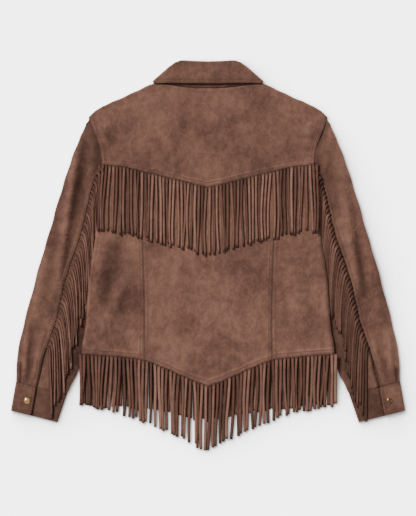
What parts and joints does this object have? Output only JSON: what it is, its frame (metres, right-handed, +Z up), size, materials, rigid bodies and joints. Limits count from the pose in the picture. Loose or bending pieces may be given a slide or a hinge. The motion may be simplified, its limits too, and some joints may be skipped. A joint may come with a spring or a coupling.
{
  "type": "suede jacket",
  "caption": "Western suede jacket laid flat with its back up: pointed yoke, collar, long sleeves with snapped cuffs, and cut fringe along yoke, hem and sleeve seams.",
  "frame": {"origin": "on the surface that the jacket lies on, under the middle of its outline", "axes": "+Z up from the surface, out of the jacket's back; +Y towards the collar; +X towards the right sleeve"},
  "size_m": [0.7872, 0.7807, 0.0119],
  "materials": {
    "suede": "brown suede, napped and matt",
    "fringe_suede": "brown suede cut in strands, napped and matt",
    "brass": "satin"
  },
  "bodies": {
    "root": {"back_yoke": "suede", "back_centre": "suede", "back_side_left": "suede", "back_side_right": "suede", "front_left": "suede", "front_right": "suede", "collar_stand": "suede", "collar_fall": "suede", "sleeve_upper_left": "suede", "sleeve_upper_right": "suede", "sleeve_under_left": "suede", "sleeve_under_right": "suede", "cuff_left": "suede", "cuff_right": "suede", "yoke_fringe": "fringe_suede", "hem_fringe_back": "fringe_suede", "hem_fringe_front_left": "fringe_suede", "hem_fringe_front_right": "fringe_suede", "sleeve_fringe_left": "fringe_suede", "sleeve_fringe_right": "fringe_suede", "cuff_snap_left": "brass", "cuff_snap_right": "brass", "front_snap_1": "brass", "front_snap_2": "brass", "front_snap_3": "brass", "front_snap_4": "brass", "front_snap_5": "brass", "front_snap_6": "brass"}
  },
  "joints": []
}
